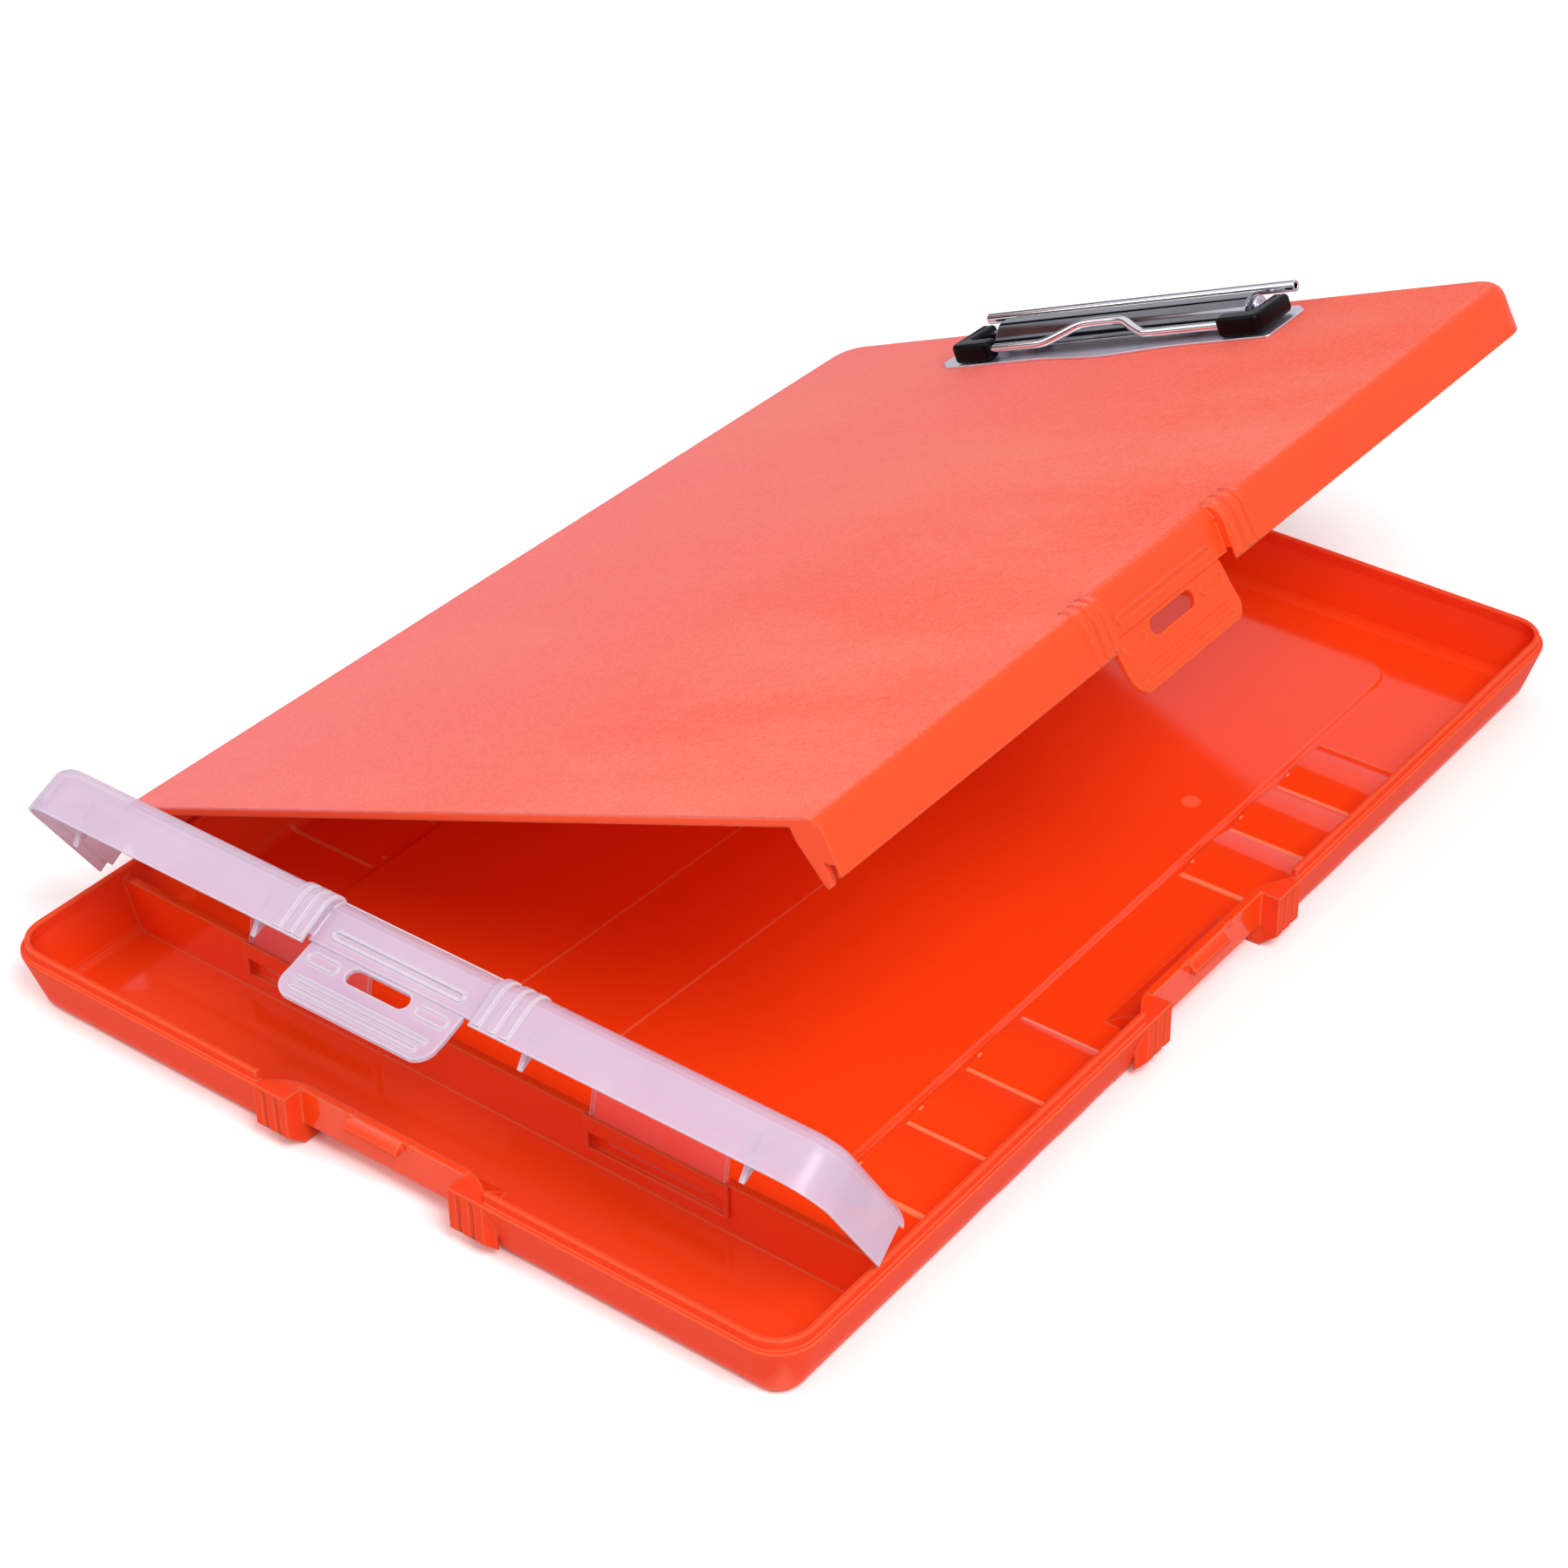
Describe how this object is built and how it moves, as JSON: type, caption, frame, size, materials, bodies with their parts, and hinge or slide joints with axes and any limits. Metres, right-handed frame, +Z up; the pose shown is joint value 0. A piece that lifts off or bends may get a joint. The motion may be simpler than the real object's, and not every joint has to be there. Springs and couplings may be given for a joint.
{
  "type": "storage clipboard box",
  "caption": "Shallow tray with a hinged writing lid that carries a spring clip, a hinged milky pen lid over a front compartment, and snap latches on both lids.",
  "frame": {"origin": "centre of the tray's flat underside, midway between its long edges and its short edges at the parting line", "axes": "+Z up out of the tray; +Y along the box's length towards the clip end; +X towards the side with the writing lid's latch"},
  "size_m": [0.2473, 0.3507, 0.12],
  "materials": {
    "tray_polypropylene": "injection-moulded orange-red polypropylene, semi-gloss inside",
    "lid_polypropylene": "orange-red polypropylene with a fine matte grain on top",
    "milky_polypropylene": "milky translucent polypropylene",
    "steel_pin": "plain drawn steel",
    "chromed_steel": "bright nickel-chrome plating",
    "black_grip": "satin black soft plastic"
  },
  "bodies": {
    "tray": {"base_tray": "tray_polypropylene", "main_hinge_pin_front": "steel_pin", "main_hinge_pin_middle": "steel_pin", "main_hinge_pin_rear": "steel_pin", "pen_hinge_leaf_left": "milky_polypropylene", "pen_hinge_leaf_right": "milky_polypropylene"},
    "writing_lid": {"main_lid": "lid_polypropylene", "clip_base_plate": "chromed_steel", "clip_rivet_left": "steel_pin", "clip_rivet_right": "steel_pin", "clip_pivot_rod": "chromed_steel", "clip_spring_left": "chromed_steel", "clip_spring_right": "chromed_steel"},
    "writing_lid_latch": {"main_lid_latch": "lid_polypropylene"},
    "pen_compartment_lid": {"pen_lid": "milky_polypropylene"},
    "pen_compartment_latch": {"pen_lid_latch": "milky_polypropylene"},
    "clip_jaw": {"clip_lever": "chromed_steel", "clip_jaw_wire": "chromed_steel", "clip_grip_left": "black_grip", "clip_grip_right": "black_grip"}
  },
  "joints": [
    {"name": "writing_lid_hinge", "type": "hinge", "parent": "tray", "child": "writing_lid", "pos_m": [-0.124, 0, 0.016], "axis": [0, -1, 0], "range_deg": [-22.2, 147.8]},
    {"name": "pen_lid_hinge", "type": "hinge", "parent": "tray", "child": "pen_compartment_lid", "pos_m": [0, -0.1345, 0.0264], "axis": [-1, 0, 0], "range_deg": [-58, 32]},
    {"name": "writing_lid_latch_hinge", "type": "hinge", "parent": "writing_lid", "child": "writing_lid_latch", "pos_m": [0.09857, 0, 0.10791], "axis": [0, -1, 0], "range_deg": [-13, 47], "stiffness_Nm_per_rad": 0.002},
    {"name": "pen_latch_hinge", "type": "hinge", "parent": "pen_compartment_lid", "child": "pen_compartment_latch", "pos_m": [0, -0.16224, 0.05305], "axis": [-1, 0, 0], "range_deg": [-13, 47], "stiffness_Nm_per_rad": 0.002},
    {"name": "clip_jaw_hinge", "type": "hinge", "parent": "writing_lid", "child": "clip_jaw", "pos_m": [-0.01188, 0.157, 0.08109], "axis": [-0.9259, 0, -0.3778], "range_deg": [0, 28], "stiffness_Nm_per_rad": 0.2, "springref_deg": -20.05}
  ]
}
